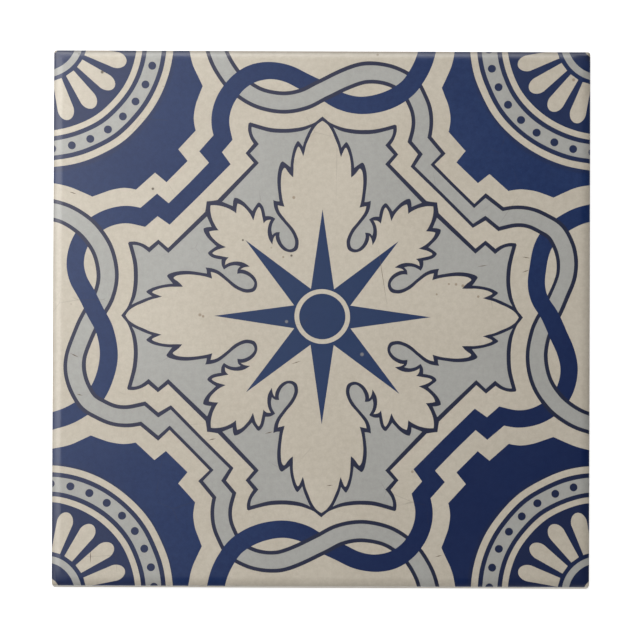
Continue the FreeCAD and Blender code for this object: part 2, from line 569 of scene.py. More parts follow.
# %% The star of leaves
leaf_edge = outline(
    (0.0, 55.0),
    [(1.4, 54.0), (2.75, 52.0), (3.6, 50.0), (4.45, 48.0), (4.95, 46.0), (5.3, 44.9)],
    [(5.7, 46.0), (6.6, 47.6), (7.5, 45.7), (8.0, 42.7), (8.0, 41.3), (8.05, 39.1)],
    [(8.8, 39.7), (9.6, 40.6), (10.5, 41.7), (11.1, 41.0), (11.5, 38.4), (11.4, 35.6), (10.95, 32.6),
     (10.45, 30.75)],
    [(11.3, 30.95), (12.35, 31.2)],
    [(11.9, 29.5), (10.0, 26.9), (8.0, 24.6), (6.85, 22.2), (6.65, 21.0), (7.1, 19.0), (8.6, 18.2),
     (10.4, 18.5), (11.9, 19.7), (12.95, 21.6), (13.1, 22.75)],
    [(13.6, 22.0), (13.95, 20.2)],
    [(15.0, 22.0), (15.3, 24.0), (14.95, 25.9), (14.35, 27.1)],
    [(15.6, 26.9), (16.4, 26.1)],
    [(16.8, 28.2), (17.25, 30.2), (17.65, 30.75), (18.5, 29.5), (19.05, 27.7), (19.3, 26.9)],
    [(20.3, 28.9), (21.9, 30.7), (22.8, 31.3), (23.65, 31.6)],
    [(23.85, 30.8), (24.0, 28.9)],
    [(24.8, 29.5), (27.0, 30.6), (29.5, 31.15), (31.1, 31.1)],
)
paint(CREAM, all_round(leaf_edge))
print("an eighth of the leaves has", len(leaf_edge), "points")

# %% [markdown]
# A compass star with eight equal rays sits on the leaves. A ray is a triangle whose broad end hides under the
# disc in the middle, so the ring tree needs only one triangle.

# %% Compass star
RAY_TIP = 30.25
RAY_VALLEY = 8.45                   # where two neighbouring rays meet, from the middle
RAY_COUNT = 8
RAY_FOOT = 5.0                      # where a ray ends, under the disc
DISC_BANDS = ((CREAM, 7.68), (NAVY, 6.37))
DISC_SHIFT = (0.0, 0.15)            # the disc sits a hair above the star's middle
valley_x = RAY_VALLEY * math.cos(math.pi / RAY_COUNT)
valley_y = RAY_VALLEY * math.sin(math.pi / RAY_COUNT)
foot_width = valley_y * (RAY_TIP - RAY_FOOT) / (RAY_TIP - valley_x)
ray = np.array([(RAY_FOOT, -foot_width), (RAY_TIP, 0), (RAY_FOOT, foot_width)])
for line in ring_of(ray, RAY_COUNT):
    paint(NAVY, line)
for glaze, line in discs(DISC_BANDS, DISC_SHIFT):
    paint(glaze, line)
print("coats with the star", len(coats))

# %% [markdown]
# Years leave scratches in a glaze, and dirt settles in them. They count as the last coat. Each is a thin
# spindle between two places on the tile.

# %% Scratches
SCRATCHES = (                       # start, end and width
    ((15.6, 21.1), (18.5, 2.8), 0.13),
    ((-70.0, -10.1), (-67.7, -11.2), 0.3),
    ((-68.2, -21.5), (-66.6, -21.9), 0.28),
    ((-8.4, -12.9), (-5.6, -12.0), 0.22),
    ((-15.6, -32.4), (-13.3, -31.8), 0.28),
    ((-31.4, -34.3), (-29.3, -33.8), 0.28),
    ((-64.1, -65.1), (-64.2, -69.0), 0.24),
    ((56.0, 17.4), (58.4, 17.0), 0.24),
    ((56.0, 13.0), (58.2, 13.8), 0.24),
    ((43.6, 14.6), (46.4, 15.0), 0.22),
    ((-70.6, 35.2), (-68.4, 34.5), 0.28),
    ((32.0, -66.7), (34.0, -66.2), 0.24),
    ((1.6, -46.9), (3.5, -46.7), 0.26),
)
for start, end, width in SCRATCHES:
    run = np.subtract(end, start)
    aside = width / 2 * np.array([-run[1], run[0]]) / np.linalg.norm(run)
    middle = np.add(start, end) / 2
    coats.append((SCRATCH, np.array([start, middle - aside, end, middle + aside])))
print("coats in all", len(coats), "with", sum(len(line) for _, line in coats), "points")

# %% [markdown]
# ## The edge in section
# The press die rolls the face off in a wide cushion and then in a tight lip. Both are arcs, each tangent to
# the next, so height and slope follow from the distance to the middle line. We keep the slope for the
# shading: normals that come from the formula stay smooth, also where the cut leaves long thin triangles.

# %% Height and lean of the glazed face
CUSHION_RADIUS = (CUSHION_WIDTH - LIP_RADIUS * (1 - math.sin(CUSHION_SLOPE))) / math.sin(CUSHION_SLOPE)
CUSHION_Z = THICKNESS - CUSHION_RADIUS
LIP_Z = CUSHION_Z + (CUSHION_RADIUS - LIP_RADIUS) * math.cos(CUSHION_SLOPE)
MITRE_BLEND = 0.08                  # height difference over which two cushions shade into each other


def roll_off(reach):
    """Height of the face, and the sine of its lean, at a distance from the middle line."""
    lip_sine = (reach - (HALF_SIZE - LIP_RADIUS)) / LIP_RADIUS
    on_lip = lip_sine > math.sin(CUSHION_SLOPE)
    cushion_sine = np.clip((reach - (HALF_SIZE - CUSHION_WIDTH)) / CUSHION_RADIUS, 0, 1)
    sine = np.where(on_lip, np.clip(lip_sine, 0, 1), cushion_sine)
    cosine = np.sqrt(1 - sine ** 2)
    height = np.where(on_lip, LIP_Z + LIP_RADIUS * cosine, CUSHION_Z + CUSHION_RADIUS * cosine)
    return height, sine


def face_surface(flat):
    """Heights and normals of the face above points of the plan."""
    height, sine = roll_off(np.abs(flat))
    share_x = np.clip(0.5 + (height[:, 1] - height[:, 0]) / MITRE_BLEND, 0, 1)
    share = np.column_stack([share_x, 1 - share_x])
    lean = share * sine * np.sign(flat)
    upright = (share * np.sqrt(1 - sine ** 2)).sum(axis=1)
    normal = np.column_stack([lean, upright])
    normal /= np.linalg.norm(normal, axis=1)[:, None]
    return height.min(axis=1), normal


print("cushion radius", round(CUSHION_RADIUS, 3), "mm, wall top at", round(LIP_Z, 3), "mm")

# %% [markdown]
# ## Cutting the face
# A constrained Delaunay triangulation takes every outline at once and splits the plan wherever two of them
# cross. It also says which outlines each triangle lies in, so the last coat is simply the highest number.
# Squares round the edge go in as plain lines: they give the cushion and the lip their rings of faces.
# Boolean modifiers would need one pass for each of the coats, and a painted texture would blur.

# %% Plan of the face
CUSHION_STEPS = 6
LIP_STEPS = 5
CORNER_STEPS = 6
MERGE_DISTANCE = 0.002              # points closer than this become one


def rounded_square(reach, radius):
    """Plan of the tile: a square with rounded corners."""
    corner = arc(radius, 0, 90, CORNER_STEPS) + (reach - radius, reach - radius)
    return np.vstack([turned(corner, quarter) for quarter in range(4)])


def anticlockwise(line):
    """The outline, turned round if it runs clockwise."""
    x, y = line.T
    doubled_area = np.sum(x * np.roll(y, -1) - y * np.roll(x, -1))
    return line if doubled_area > 0 else line[::-1]


def cut(outlines, lines):
    """Triangles of the plan and, for each, the numbers of the outlines that it lies in."""
    points = []
    loops = []
    edges = []
    for line in map(anticlockwise, outlines):
        loops.append(list(range(len(points), len(points) + len(line))))
        points.extend(Vector(place) for place in line)
    for line in lines:
        first = len(points)
        points.extend(Vector(place) for place in line)
        edges.extend((number, number + 1) for number in range(first, len(points) - 1))
    result = delaunay_2d_cdt(points, edges, loops, 1, MERGE_DISTANCE, True)
    return np.array([tuple(point) for point in result[0]]), result[2], result[5]


plan = rounded_square(HALF_SIZE, CORNER_RADIUS)
print("plan of", len(plan), "points")

# %% Rings along the edge, and the cut
cushion_rings = CUSHION_RADIUS * np.sin(np.linspace(0, CUSHION_SLOPE, CUSHION_STEPS)) - CUSHION_WIDTH
lip_rings = LIP_RADIUS * np.sin(np.linspace(CUSHION_SLOPE, math.pi / 2, LIP_STEPS)[1:-1]) - LIP_RADIUS
ring_lines = []
for ring_reach in HALF_SIZE + np.append(cushion_rings, lip_rings):
    ring_lines.append(ring_reach * np.array([(1, 1), (-1, 1), (-1, -1), (1, -1), (1, 1)]))
inner_reach = HALF_SIZE - CUSHION_WIDTH
mitre = np.array([(inner_reach, inner_reach), (HALF_SIZE, HALF_SIZE)])
mitre_lines = [turned(mitre, quarter) for quarter in range(4)]
outlines = [plan] + [line for _, line in coats]
face_points, face_cells, cell_owners = cut(outlines, ring_lines + mitre_lines)
print("face cut into", len(face_cells), "triangles")

# %% [markdown]
# ## One closed mesh
# The tile is one fired piece, so it becomes one mesh. Faces are collected with the places of their corners,
# and equal places become one vertex, which closes the seams between face, walls and back. Each corner
# also gets its normal, and a place on a flat chart of the tile that colour can be baked on.

# %% Collecting faces
vertex_numbers = {}
vertex_places = []
tile_faces = []
tile_coats = []
tile_normals = []
tile_chart = []


def add_face(corners, normals, coat, chart):
    """Adds one face, unless its corners fall together."""
    numbers = []
    kept = []
    for index, place in enumerate(corners):
        key = tuple(np.round(np.array(place) / MERGE_DISTANCE).astype(int))
        if key not in vertex_numbers:
            vertex_numbers[key] = len(vertex_places)
            vertex_places.append(place)
        if vertex_numbers[key] not in numbers:
            numbers.append(vertex_numbers[key])
            kept.append(index)
    if len(numbers) > 2:
        tile_faces.append(numbers)
        tile_coats.append(coat)
        tile_normals.extend(normals[index] for index in kept)
        tile_chart.extend(chart(corners[index]) for index in kept)


# %% The flat chart
CHART_FACE = 0.74                   # share of the chart's width that the glazed face takes
CHART_BACK = 0.24                   # and the back
CHART_MARGIN = 0.005
CHART_STRIP = 0.058                 # from one wall strip to the next


def chart_face(place):
    """The glazed face fills the lower left of the chart."""
    return [CHART_MARGIN + (value / FACE_SIZE + 0.5) * CHART_FACE for value in place[:2]]


def chart_back(place):
    """The back is small, in the upper right."""
    return [1 - CHART_MARGIN + (value / FACE_SIZE - 0.5) * CHART_BACK for value in place[:2]]


def chart_wall(outward):
    """The walls lie above the face, one strip for each side, at the face's scale."""
    side = int(round(math.atan2(outward[1], outward[0]) / (math.pi / 2))) % 4

    def chart(place):
        along = turned(np.array([place[:2]]), -side)[0, 1]
        strip = 1 - CHART_MARGIN - CHART_BACK + side * CHART_STRIP
        run = CHART_MARGIN + (along / FACE_SIZE + 0.5) * CHART_FACE
        return [run, strip + place[2] / FACE_SIZE * CHART_FACE]

    return chart


print("the face takes", CHART_FACE, "of the chart's width, the back", CHART_BACK)

# %% Glazed face
face_heights, face_normals = face_surface(face_points)
face_places = np.column_stack([face_points, face_heights])
for cell, owners in zip(face_cells, cell_owners):
    if 0 in owners:
        last_coat = max(owners)
        glaze = coats[last_coat - 1][0] if last_coat else CREAM
        add_face(face_places[cell], face_normals[cell], glaze, chart_face)
print("glazed face", len(tile_faces), "triangles")

# %% [markdown]
# The walls hang from the rim of the face. The rim is found rather than listed: it is the chain of edges that
# only one triangle has. The same search later finds the mouths of the pockets in the back.

# %% Open rims
def open_rims(faces):
    """Closed chains of the edges that belong to one face only, in the direction that the face has them."""
    edges = {(face[k - 1], face[k]) for face in faces for k in range(len(face))}
    following = {start: end for start, end in edges if (end, start) not in edges}
    rims = []
    while following:
        rim = [next(iter(following))]
        while rim[-1] in following:
            rim.append(following.pop(rim[-1]))
        rims.append(rim[:-1])
    return rims


face_rims = open_rims(tile_faces)
print("the face has", len(face_rims), "rim")

# %% Walls and back bevel
BACK_REACH = HALF_SIZE - BACK_ARRIS


def wall_normal(place):
    """Straight out from a side, and round the upright corners."""
    core = np.clip(place[:2], CORNER_RADIUS - HALF_SIZE, HALF_SIZE - CORNER_RADIUS)
    outward = np.array(place[:2]) - core
    return np.append(outward / np.linalg.norm(outward), 0)


rim_places = [np.array(vertex_places[number]) for number in face_rims[0]]
foot_places = [np.append(place[:2], np.abs(place[:2]).max() - BACK_REACH) for place in rim_places]
back_places = [np.append(np.clip(place[:2], -BACK_REACH, BACK_REACH), 0) for place in rim_places]
for k in range(len(rim_places)):
    outward = wall_normal((rim_places[k - 1] + rim_places[k]) / 2)
    chart = chart_wall(outward)
    upper = [rim_places[k - 1], foot_places[k - 1], foot_places[k], rim_places[k]]
    add_face(upper, [wall_normal(place) for place in upper], CREAM, chart)
    lower = [foot_places[k - 1], back_places[k - 1], back_places[k], foot_places[k]]
    side = np.abs(outward).argmax()
    axis = np.zeros(3)
    axis[side] = np.sign(outward[side])
    bevel_normal = (axis - (0, 0, 1)) / math.sqrt(2)
    add_face(lower, [bevel_normal] * 4, CREAM, chart)
print("with walls and bevel", len(tile_faces), "faces from a rim of", len(rim_places), "points")

# %% [markdown]
# ## The keyed back
# The press die leaves a waffle of shallow pockets in the back, which the mortar grips. All pockets are
# alike, so a Geometry Nodes tree makes one from a rounded square, draws its floor up and in, and sets it on
# a grid. The mouth and the floor are true parallels: the floor's corners move towards the centres of the
# mouth's own rounds, which a plain scaling would not do.

# %% Sizes of the waffle
KEY_COUNT = 7                       # pockets along each side
KEY_RIM = 9.0                       # plain border round them
KEY_RIB = 5.0                       # rib between two pockets
KEY_DEPTH = 0.8
KEY_DRAFT = math.radians(35)        # lean of a pocket's walls
KEY_FLOOR_RADIUS = 1.4
key_pocket = (FACE_SIZE - 2 * KEY_RIM - (KEY_COUNT - 1) * KEY_RIB) / KEY_COUNT
key_inset = KEY_DEPTH * math.tan(KEY_DRAFT)
key_sizes = {
    "Count": KEY_COUNT,
    "Pitch": key_pocket + KEY_RIB,
    "Pocket": key_pocket,
    "Corner radius": KEY_FLOOR_RADIUS + key_inset,
    "Depth": KEY_DEPTH,
    "Inset": key_inset,
    "Material": glazed_tile,
}
print("pockets of", round(key_pocket, 2), "mm every", round(key_sizes["Pitch"], 2), "mm")

# %% The waffle tree: one pocket with straight walls
POCKET_CORNER_POINTS = 5
key_input = geometry_tree("waffle_key", {
    "Count": "Int", "Pitch": "Float", "Pocket": "Float", "Corner radius": "Float", "Depth": "Float",
    "Inset": "Float", "Material": "Material",
})
pocket_size = key_input.out("Pocket")
radius = key_input.out("Corner radius")
square = key_input.node("GeometryNodeCurvePrimitiveQuadrilateral", inputs={
    "Width": pocket_size, "Height": pocket_size,
})
mouth = square.node("GeometryNodeFilletCurve", {"mode": "POLY"}, {
    "Curve": square, "Count": POCKET_CORNER_POINTS, "Radius": radius,
})
sheet = mouth.node("GeometryNodeFillCurve", {"mode": "NGONS"}, {"Curve": mouth})
drawn = sheet.node("GeometryNodeExtrudeMesh", {"mode": "FACES"}, {
    "Mesh": sheet, "Offset Scale": key_input.out("Depth"), "Individual": False,
})
print("a straight pocket takes", len(drawn.tree.nodes), "nodes")

# %% The waffle tree: drafted walls
PAST_ANY_HEIGHT = 1000.0            # the core is a square column, so heights never count
core = pocket_size * 0.5 - radius
core_corner = core.node("ShaderNodeCombineXYZ", inputs={"X": core, "Y": core, "Z": PAST_ANY_HEIGHT})
core_opposite = core_corner.vectors("SCALE", {0: core_corner, "Scale": -1.0})
spot = drawn.node("GeometryNodeInputPosition")
low_cut = spot.vectors("MAXIMUM", {0: spot, 1: core_opposite})
nearest = spot.vectors("MINIMUM", {0: low_cut, 1: core_corner})
away = spot.vectors("SUBTRACT", {0: spot, 1: nearest})
unit = away.vectors("NORMALIZE", {0: away})
inward = unit.vectors("SCALE", {0: unit, "Scale": 0 - key_input.out("Inset")})
tapered = drawn.node("GeometryNodeSetPosition", inputs={
    "Geometry": drawn, "Selection": drawn.out("Top"), "Offset": inward,
})
pocket = tapered.node("GeometryNodeFlipFaces", inputs={"Mesh": tapered})
print("a drafted pocket takes", len(pocket.tree.nodes), "nodes")

# %% The waffle tree: a grid of pockets
spread = key_input.out("Pitch") * (key_input.out("Count") - 1)
grid = spread.node("GeometryNodeMeshGrid", inputs={
    "Size X": spread, "Size Y": spread,
    "Vertices X": key_input.out("Count"), "Vertices Y": key_input.out("Count"),
})
pockets = grid.node("GeometryNodeInstanceOnPoints", inputs={"Points": grid, "Instance": pocket})
key_tree = end_tree(pockets, key_input.out("Material"))
waffle = grown(key_tree, key_sizes, bpy.data.meshes.new("waffle_seed"))
print("waffle of", len(waffle.polygons), "faces")

# %% Back plane round the pockets
DOWN = np.array((0.0, 0.0, -1.0))
waffle_places = np.array([tuple(vertex.co) for vertex in waffle.vertices])
waffle_faces = [list(face.vertices) for face in waffle.polygons]
mouths = [waffle_places[rim][:, :2] for rim in open_rims(waffle_faces)]
for face, numbers in zip(waffle.polygons, waffle_faces):
    add_face(waffle_places[numbers], [np.array(face.normal)] * len(numbers), CREAM, chart_back)
distinct = [k for k in range(len(back_places)) if np.any(back_places[k] != back_places[k - 1])]
back_rim = np.array([back_places[k][:2] for k in distinct])
back_points, back_cells, back_owners = cut([back_rim] + mouths, [])
for cell, owners in zip(back_cells, back_owners):
    if list(owners) == [0]:
        corners = np.column_stack([back_points[cell[::-1]], np.zeros(len(cell))])
        add_face(corners, [DOWN] * len(cell), CREAM, chart_back)
print("pocket mouths", len(mouths))
print("whole tile", len(tile_faces), "faces, open rims", len(open_rims(tile_faces)))

# %% The tile's mesh and object
tile_mesh = bpy.data.meshes.new("azulejo")
tile_mesh.from_pydata([Vector(place) * MM for place in vertex_places], [], tile_faces)
tile_mesh.attributes.new("coat", "FLOAT", "FACE").data.foreach_set("value", np.array(tile_coats, float))
tile_mesh.uv_layers.new(name="OFBake").data.foreach_set("uv", np.array(tile_chart, float).ravel())
tile_mesh.shade_smooth()
tile_mesh.normals_split_custom_set([Vector(normal) for normal in tile_normals])
tile_mesh.materials.append(glazed_tile)
azulejo = bpy.data.objects.new("azulejo", tile_mesh)
bpy.context.scene.collection.objects.link(azulejo)
print("azulejo", len(tile_mesh.vertices), "vertices", len(tile_mesh.polygons), "faces")

# %% [markdown]
# ## Glaze and biscuit
# One finish covers the whole piece. The coat number of each face picks cream, pale, navy or ink glaze, or the
# dirt in a scratch. Below a wavering line on the walls the glaze ends and the bare biscuit shows, as where a
# tile maker wipes the edge before the firing. Every part has its own grain, from slow clouds in the glaze to
# pinholes. All of it is made of noise in the tile's own space, because a picture would be as sharp as its
# pixels and no sharper.

# %% Grain shared by the finishes
glazed_tile.use_nodes = True
glazed_tile.node_tree.nodes.clear()
finish = Wire(glazed_tile.node_tree)
place = finish.node("ShaderNodeTexCoord", output="Object")
SPECK_CORE = 0.5                    # share of a speck's radius that has its full strength


def cloud(size, seed, detail=2.0):
    """Soft noise about one half, with blotches that many millimetres across."""
    values = {"Vector": place, "W": float(seed), "Scale": 1 / (size * MM), "Detail": detail}
    return place.node("ShaderNodeTexNoise", {"noise_dimensions": "4D"}, values)


def specks(spacing, size, share, seed):
    """Scattered round spots: a cell of that spacing holds one, if it is among the chosen share of cells."""
    values = {"Vector": place, "W": float(seed), "Scale": 1 / (spacing * MM)}
    cell = place.node("ShaderNodeTexVoronoi", {"voronoi_dimensions": "4D"}, values, output="Distance")
    draw = cell.node("ShaderNodeSeparateColor", inputs={"Color": cell.out("Color")}, output="Red")
    return cell.between(size / spacing, SPECK_CORE * size / spacing) * (1 - draw.above(share))


def mixed(amount, first, second):
    """One colour over another, by an amount from 0 to 1."""
    values = {0: amount, 6: first, 7: second}
    return amount.node("ShaderNodeMix", {"data_type": "RGBA"}, values, output=2)


def distance_from(x, y, start=place):
    """How far a point lies from a place on the face, which is given in millimetres."""
    ends = {0: start, 1: (x * MM, y * MM, THICKNESS * MM)}
    return place.vectors("DISTANCE", ends, output="Value")


def rgb(red, green, blue):
    return (red, green, blue, 1.0)


# %% Coats and mottle
MOTTLE = (                          # size, seed and detail of the blotches, their softness and their share
    (24, 1, 2.0, 0.15, 0.25),
    (1.6, 2, 4.0, 0.2, 0.45),
    (0.5, 3, 2.0, 0.2, 0.3),
)
coat_number = place.node("ShaderNodeAttribute", {"attribute_name": "coat"}, output="Fac")
is_pale = coat_number.above(PALE - 0.5)
is_navy = coat_number.above(NAVY - 0.5)
is_ink = coat_number.above(INK - 0.5)
is_scratch = coat_number.above(SCRATCH - 0.5)
mottle = sum(
    cloud(size, seed, detail).between(0.5 - softness, 0.5 + softness) * share
    for size, seed, detail, softness, share in MOTTLE
)
print("coats and mottle take", len(mottle.tree.nodes), "nodes")

# %% Cream, pale and plain navy
CREAM_GLAZE = rgb(0.555, 0.504, 0.421)
CREAM_DULL = rgb(0.459, 0.410, 0.332)
PALE_GLAZE = rgb(0.392, 0.388, 0.365)
PALE_COOL = rgb(0.330, 0.326, 0.304)
NAVY_GLAZE = rgb(0.004, 0.017, 0.078)
NAVY_THIN = rgb(0.014, 0.035, 0.117)
cream_tone = mixed(mottle, CREAM_GLAZE, CREAM_DULL)
pale_tone = mixed(mottle, PALE_GLAZE, PALE_COOL)
navy_tone = mixed(mottle, NAVY_GLAZE, NAVY_THIN)
print("three mottled tones take", len(navy_tone.tree.nodes), "nodes")

# %% [markdown]
# Navy shows best that a glaze never lies even: it is worn in the middle. Its colour also carries painted
# light:
# a greyish painted sheen on the left, towards the key light, and painted shade that deepens it towards the
# lower right. The dark lines are another mix, the ink, with the same painted sheen and shade. In the rosettes
# the two have run into each other.

# %% Navy fields and ink lines, with painted sheen and shade
NAVY_SHEEN = rgb(0.034, 0.046, 0.097)
NAVY_SHADED = rgb(0.001, 0.008, 0.054)
NAVY_WORN = rgb(0.021, 0.042, 0.103)
INK_SHEEN = rgb(0.028, 0.030, 0.061)
INK_SHADED = rgb(0.013, 0.017, 0.043)
LIGHT_FALL_REACH = 60 * MM                 # from the painted sheen on the left to the painted shade on the right
LIGHT_FALL_SLANT = 0.5                     # how much the painted light's fall follows the height in the picture
SHEEN_SHARE = 0.25
SHADE_FROM = 20 * MM                 # how far to the lower right the painted shade on the navy starts
SHADE_FULL = 90 * MM
SHADE_SHARE = 0.65
WORN_REACH = 42 * MM                # round the middle, where the navy is worn
WORN_SHARE = 0.65
along_x = place.node("ShaderNodeSeparateXYZ", inputs={"Vector": place}, output="X")
along_y = along_x.out("Y")
height = along_x.out("Z")
# painted light: navy and ink lighter and greyer towards the left, darker towards the lower right
light_fall = (along_x - along_y * LIGHT_FALL_SLANT).between(-LIGHT_FALL_REACH, LIGHT_FALL_REACH)
sheened_tone = mixed((1 - light_fall) * SHEEN_SHARE, navy_tone, NAVY_SHEEN)
lower_right_shade = (along_x - along_y).between(SHADE_FROM, SHADE_FULL)
shaded_tone = mixed(lower_right_shade * SHADE_SHARE, sheened_tone, NAVY_SHADED)
worn = distance_from(0, 0).between(WORN_REACH, WORN_REACH / 3)
field_tone = mixed(worn * WORN_SHARE, shaded_tone, NAVY_WORN)
ink_tone = mixed(light_fall, INK_SHEEN, INK_SHADED)
print("with navy and ink the finish has", len(ink_tone.tree.nodes), "nodes")

# %% Painted glaze
DIRT = rgb(0.130, 0.095, 0.065)
ROSETTE_BLEND = 0.4                 # share of ink in the rosettes' navy, and of navy in their ink
one_corner = place.vectors("ABSOLUTE", {0: place})
rosette_reach = OUTER_BANDS[0][1] * MM
in_rosette = distance_from(*ROSETTE_PLACES[0], one_corner).between(rosette_reach + MM, rosette_reach)
blend = in_rosette * ROSETTE_BLEND
dark_tone = mixed(is_ink, mixed(blend, field_tone, ink_tone), mixed(blend, ink_tone, field_tone))
painted_tone = mixed(is_navy, mixed(is_pale, cream_tone, pale_tone), dark_tone)
glaze_tone = mixed(is_scratch, painted_tone, DIRT)
print("painted glaze of", len(glaze_tone.tree.nodes), "nodes")

# %% [markdown]
# A tile that has been on a wall for years has marks. Most are scattered by the textures: pinholes, stains,
# chips and hairlines. A few are larger, and each of those has its own place.

# %% Pinholes, stains and chips
PINHOLE = rgb(0.060, 0.042, 0.028)
STAIN = rgb(0.230, 0.165, 0.105)
CHIP = rgb(0.300, 0.290, 0.270)
STAIN_SHARE = 0.6
STAIN_SPOT_SHARE = 0.7
CHIP_SHARE = 0.5
CHIP_SPOT_SHARE = 0.6
SPOT_CORE = 0.4                     # share of a spot's radius that has its full strength
DARK_SPOTS = (                      # place and radius of each
    (-68.0, 74.0, 0.5), (-61.5, 68.8, 0.6), (-47.2, 36.1, 0.5), (-22.0, 21.8, 0.4), (-8.4, 17.5, 0.45),
)
STAIN_SPOTS = (
    (-10.7, 17.1, 0.4), (-7.8, 33.8, 0.6), (-33.9, 0.8, 0.6), (-33.0, 0.4, 0.5), (70.3, 67.1, 0.6),
    (39.5, 9.2, 0.6), (37.6, 9.6, 0.5), (35.6, 9.7, 0.4), (43.8, 6.2, 0.5), (32.2, 6.8, 0.4),
)
CHIP_SPOTS = ((-9.7, -1.0, 0.6), (11.4, -10.1, 0.7))


def spots(marks):
    """Single round marks on the face, each with its place and radius in millimetres."""
    return sum(distance_from(x, y).between(size * MM, SPOT_CORE * size * MM) for x, y, size in marks)


stain_specks = specks(spacing=5, size=0.55, share=0.22, seed=15) * (1 - is_navy)
dark_specks = specks(spacing=9, size=0.42, share=0.14, seed=5) * (1 - is_navy)
chip_specks = specks(spacing=5, size=0.35, share=0.16, seed=6) * is_navy
pinholes = dark_specks + spots(DARK_SPOTS)
stains = stain_specks * STAIN_SHARE + spots(STAIN_SPOTS) * STAIN_SPOT_SHARE
chips = chip_specks * CHIP_SHARE + spots(CHIP_SPOTS) * CHIP_SPOT_SHARE
print("single marks", len(DARK_SPOTS) + len(STAIN_SPOTS) + len(CHIP_SPOTS))

# %% Hairlines, and the marked glaze
HAIRLINE_SPACING = 17 * MM
HAIRLINE_WIDTH = (0.006, 0.002)     # its edge and its core, as shares of the spacing
HAIRLINE_PATCHES = (13, 7)          # size and seed of the patches that have hairlines
HAIRLINE_LEVELS = (0.58, 0.66)
HAIRLINE_SHARE = 0.22
PINHOLE_SHARE = 0.85
crackle = place.node(
    "ShaderNodeTexVoronoi",
    {"feature": "DISTANCE_TO_EDGE"},
    {"Vector": place, "Scale": 1 / HAIRLINE_SPACING},
)
patches = cloud(*HAIRLINE_PATCHES).between(*HAIRLINE_LEVELS)
hairlines = crackle.between(*HAIRLINE_WIDTH) * patches * HAIRLINE_SHARE
marked_tone = mixed(hairlines, mixed(chips, glaze_tone, CHIP), PINHOLE)
glaze_colour = mixed(pinholes * PINHOLE_SHARE, mixed(stains, marked_tone, STAIN), PINHOLE)
print("marked glaze of", len(glaze_colour.tree.nodes), "nodes")

# %% [markdown]
# Painted shade on the rolled edge: along the top, and a little on the left, the colour of the cushion and the
# lip is mixed with a dark shade.

# %% Painted shade on the rolled edge
EDGE_SHADE = rgb(0.030, 0.026, 0.024)
EDGE_TOP = 0.40                     # share of the shade along the top
EDGE_LEFT = 0.17                    # and on the left
EDGE_START = 0.5                    # over what width it sets in
EDGE_END = 0.2                      # over what height it fades out below the lip
flat_reach = (HALF_SIZE - CUSHION_WIDTH) * MM
roll_reach = (HALF_SIZE - CUSHION_WIDTH + EDGE_START) * MM
roll_top = (CUSHION_Z + CUSHION_RADIUS) * MM
lip_top = (LIP_Z + LIP_RADIUS * math.cos(CUSHION_SLOPE)) * MM
on_roll = height.between(roll_top, lip_top) * height.between((LIP_Z - EDGE_END) * MM, LIP_Z * MM)
# painted shade: darkens the rolled edge along the top, and a little on the left
top_edge_shade = along_y.between(flat_reach, roll_reach) * EDGE_TOP
left_edge_shade = along_x.between(-flat_reach, -roll_reach) * EDGE_LEFT
edge_shaded_colour = mixed(on_roll * top_edge_shade.larger(left_edge_shade), glaze_colour, EDGE_SHADE)
print("the roll starts", round(roll_top / MM, 2), "mm up, and the lip", round(lip_top / MM, 2))

# %% Bare biscuit and the line where the glaze ends
BISCUIT_PALE = rgb(0.740, 0.700, 0.620)
BISCUIT_WARM = rgb(0.620, 0.560, 0.470)
GLAZE_END = 5.2 * MM                # height above the back
GLAZE_WAVER = 1.6 * MM
GLAZE_BLUR = 0.12 * MM
CLAY_CLOUD_SHARE = 0.6
CLAY_GRAIN_SHARE = 0.3
CLAY_SPECK_SHARE = 0.6
run_line = GLAZE_END + (cloud(9, 8) - 0.5) * (2 * GLAZE_WAVER)
is_biscuit = (height - run_line).between(GLAZE_BLUR, -GLAZE_BLUR)
clay_cloud = cloud(16, 10).between(0.35, 0.75)
clay_grain = cloud(0.7, 9, detail=3.0)
clay_warmth = clay_cloud * CLAY_CLOUD_SHARE + clay_grain.between(0.5, 0.8) * CLAY_GRAIN_SHARE
clay_tone = mixed(clay_warmth, BISCUIT_PALE, BISCUIT_WARM)
clay_specks = specks(spacing=2.4, size=0.35, share=0.25, seed=11)
clay_colour = mixed(clay_specks * CLAY_SPECK_SHARE, clay_tone, PINHOLE)
print("glaze ends about", round(GLAZE_END / MM, 1), "mm above the back")

# %% The tile's shader
GLAZE_ROUGHNESS = 0.34
BISCUIT_ROUGHNESS = 0.88
GLAZE_IOR = 1.5
GLOSS_DRIFT = 0.06                  # how much the glaze's roughness wanders
PINHOLE_DULL = 0.3                  # how much rougher a pinhole is
RIPPLE_SHARE = 0.5                  # height of the glaze's ripple beside a pinhole's depth
RELIEF_HEIGHT = 0.03 * MM
RELIEF_STRENGTH = 0.5

surface_colour = mixed(is_biscuit, edge_shaded_colour, clay_colour)
glaze_gloss = GLAZE_ROUGHNESS + (cloud(5, 12) - 0.5) * GLOSS_DRIFT + pinholes * PINHOLE_DULL
surface_gloss = glaze_gloss * (1 - is_biscuit) + is_biscuit * BISCUIT_ROUGHNESS
glaze_relief = cloud(6, 13) * RIPPLE_SHARE - pinholes
relief = glaze_relief * (1 - is_biscuit) + clay_grain * is_biscuit
bump = relief.node("ShaderNodeBump", inputs={
    "Strength": RELIEF_STRENGTH, "Distance": RELIEF_HEIGHT, "Height": relief,
})
ceramic = bump.node("ShaderNodeBsdfPrincipled", inputs={
    "Base Color": surface_colour, "Roughness": surface_gloss, "IOR": GLAZE_IOR, "Normal": bump,
})
ceramic.node("ShaderNodeOutputMaterial", inputs={"Surface": ceramic})
print("finish of", len(glazed_tile.node_tree.nodes), "nodes")

# %% [markdown]
# ## Joining the frame
# The tile has no moving parts, so it rides on the one body. It stands for the CAD node of the same shape,
# which then stays behind for collisions only.

